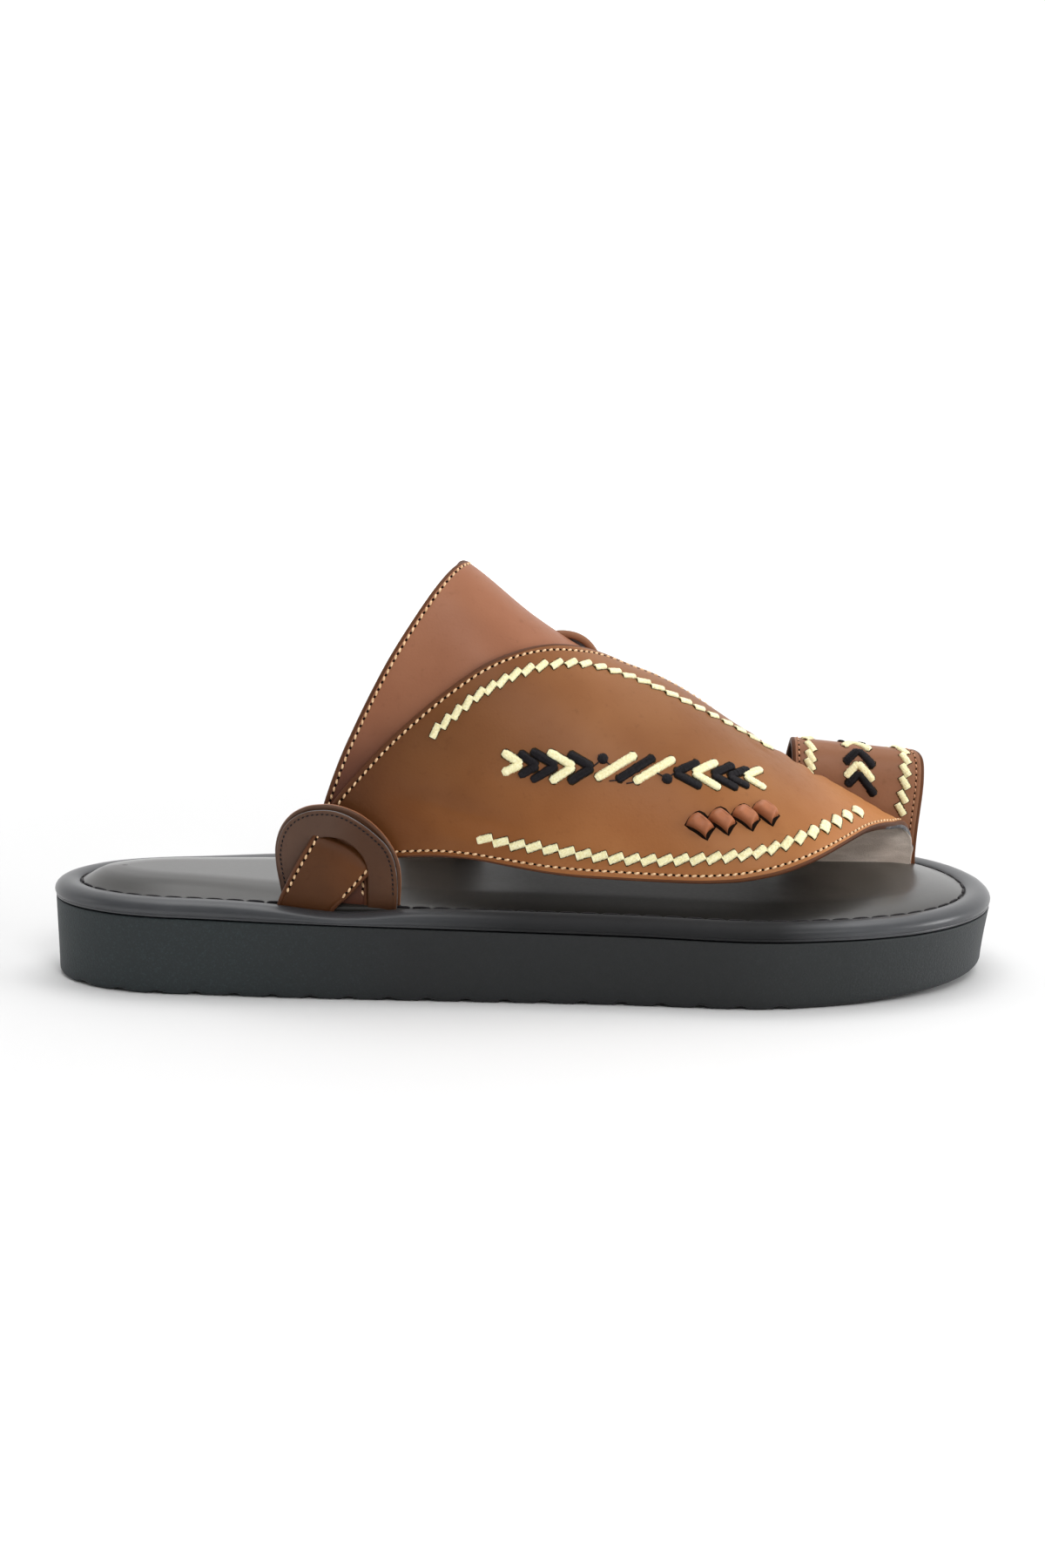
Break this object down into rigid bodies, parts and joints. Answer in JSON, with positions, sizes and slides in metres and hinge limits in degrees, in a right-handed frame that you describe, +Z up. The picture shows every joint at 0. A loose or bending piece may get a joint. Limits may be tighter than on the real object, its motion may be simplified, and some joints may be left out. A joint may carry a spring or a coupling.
{
  "type": "arabic sandal",
  "caption": "Right-foot leather sandal with a broad leaf strap over a pointed instep panel, threaded ears, a big-toe ring and a thick moulded sole.",
  "frame": {"origin": "on the floor, under the middle of the bounding box", "axes": "+X to the toe, +Y to the inner side of the foot (a right foot's left), +Z up"},
  "size_m": [0.285, 0.1, 0.1254],
  "materials": {
    "outsole": "fine pebbled, matt",
    "sole_leather": "smooth, half gloss",
    "strap_leather": "smooth, half matt",
    "ear_leather": "smooth, half matt"
  },
  "bodies": {
    "root": {"outsole": "outsole", "edge_roll": "sole_leather", "insole": "sole_leather", "upper": "strap_leather", "toe_ring": "strap_leather", "outer_ear": "ear_leather", "inner_ear": "ear_leather"}
  },
  "joints": []
}
